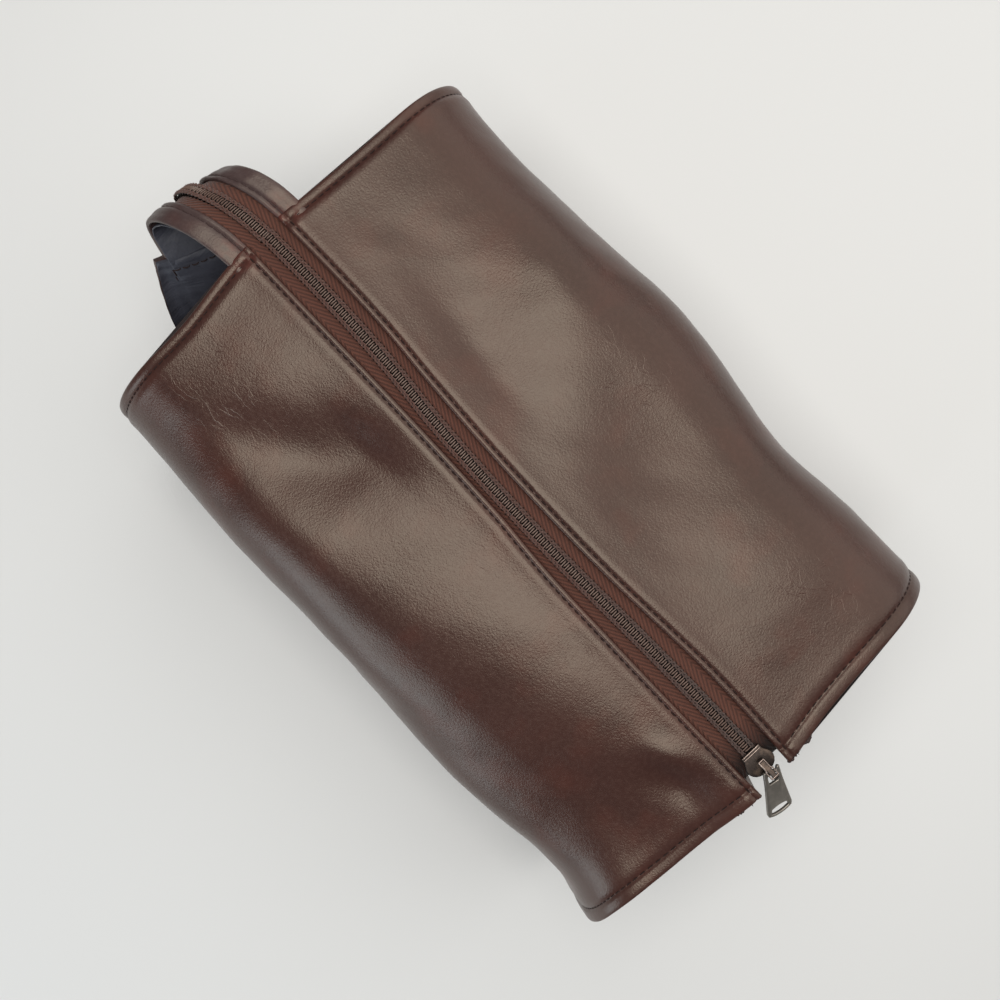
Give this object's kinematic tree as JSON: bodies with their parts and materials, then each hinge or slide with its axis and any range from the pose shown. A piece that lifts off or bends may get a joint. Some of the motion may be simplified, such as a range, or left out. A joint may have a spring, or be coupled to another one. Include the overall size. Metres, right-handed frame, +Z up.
{
  "type": "shaving kit bag",
  "caption": "Boxy leather shaving kit bag with a coil zip along the top, hinged flaps either side of it and a carrying loop formed by the zip's tail.",
  "frame": {"origin": "centre of the underside", "axes": "+X along the zip towards its closed end, +Y across the bag to the back flap, +Z up"},
  "size_m": [0.309, 0.1766, 0.1215],
  "materials": {
    "leather_brown": "semi-gloss, finely wrinkled",
    "lining_black": "matt coated cloth",
    "tape_brown": "herringbone weave",
    "coil_brown": "satin",
    "gunmetal": "worn brushed",
    "thread_brown": "matt",
    "board_grey": "matt"
  },
  "bodies": {
    "shell": {"body_wrap": "leather_brown", "slider_end_panel": "leather_brown", "loop_end_panel": "leather_brown", "body_lining": "lining_black", "base_board": "board_grey", "side_seam_stitching": "thread_brown", "tail_front_edging": "leather_brown", "tail_back_edging": "leather_brown", "tail_front_tape": "tape_brown", "tail_back_tape": "tape_brown", "tail_coil": "coil_brown", "tail_lining": "lining_black", "tail_stop": "gunmetal", "sleeve_leather": "leather_brown", "sleeve_lining": "lining_black", "sleeve_stitching": "thread_brown"},
    "front_flap": {"front_flap_leather": "leather_brown", "front_flap_lining": "lining_black", "front_zip_tape": "tape_brown", "front_coil": "coil_brown", "front_zip_stitching": "thread_brown", "front_flap_end_stitching": "thread_brown"},
    "back_flap": {"back_flap_leather": "leather_brown", "back_flap_lining": "lining_black", "back_zip_tape": "tape_brown", "back_coil": "coil_brown", "back_zip_stitching": "thread_brown", "back_flap_end_stitching": "thread_brown"},
    "slider": {"slider_body": "gunmetal", "slider_bridge": "gunmetal"},
    "pull": {"pull_tab": "gunmetal"}
  },
  "joints": [
    {"name": "zip_slide", "type": "slide", "parent": "shell", "child": "slider", "axis": [-1, 0, 0], "range_m": [0, 0.236], "deforming": ["front_coil", "back_coil", "front_zip_tape", "back_zip_tape"]},
    {"name": "pull_hinge", "type": "hinge", "parent": "slider", "child": "pull", "pos_m": [0.1251, 0, 0.11943], "axis": [-0.4067, -0.9135, 0], "range_deg": [0, 162]},
    {"name": "front_flap_hinge", "type": "hinge", "parent": "shell", "child": "front_flap", "pos_m": [0, -0.088, 0.07904], "axis": [1, 0, 0], "range_deg": [0, 30]},
    {"name": "back_flap_hinge", "type": "hinge", "parent": "shell", "child": "back_flap", "pos_m": [0, 0.088, 0.07904], "axis": [-1, 0, 0], "range_deg": [0, 30]}
  ],
  "couplings": [
    {"joint": "front_flap_hinge", "follows": "zip_slide", "rad_per_m": 2.2},
    {"joint": "back_flap_hinge", "follows": "zip_slide", "rad_per_m": 2.2}
  ]
}
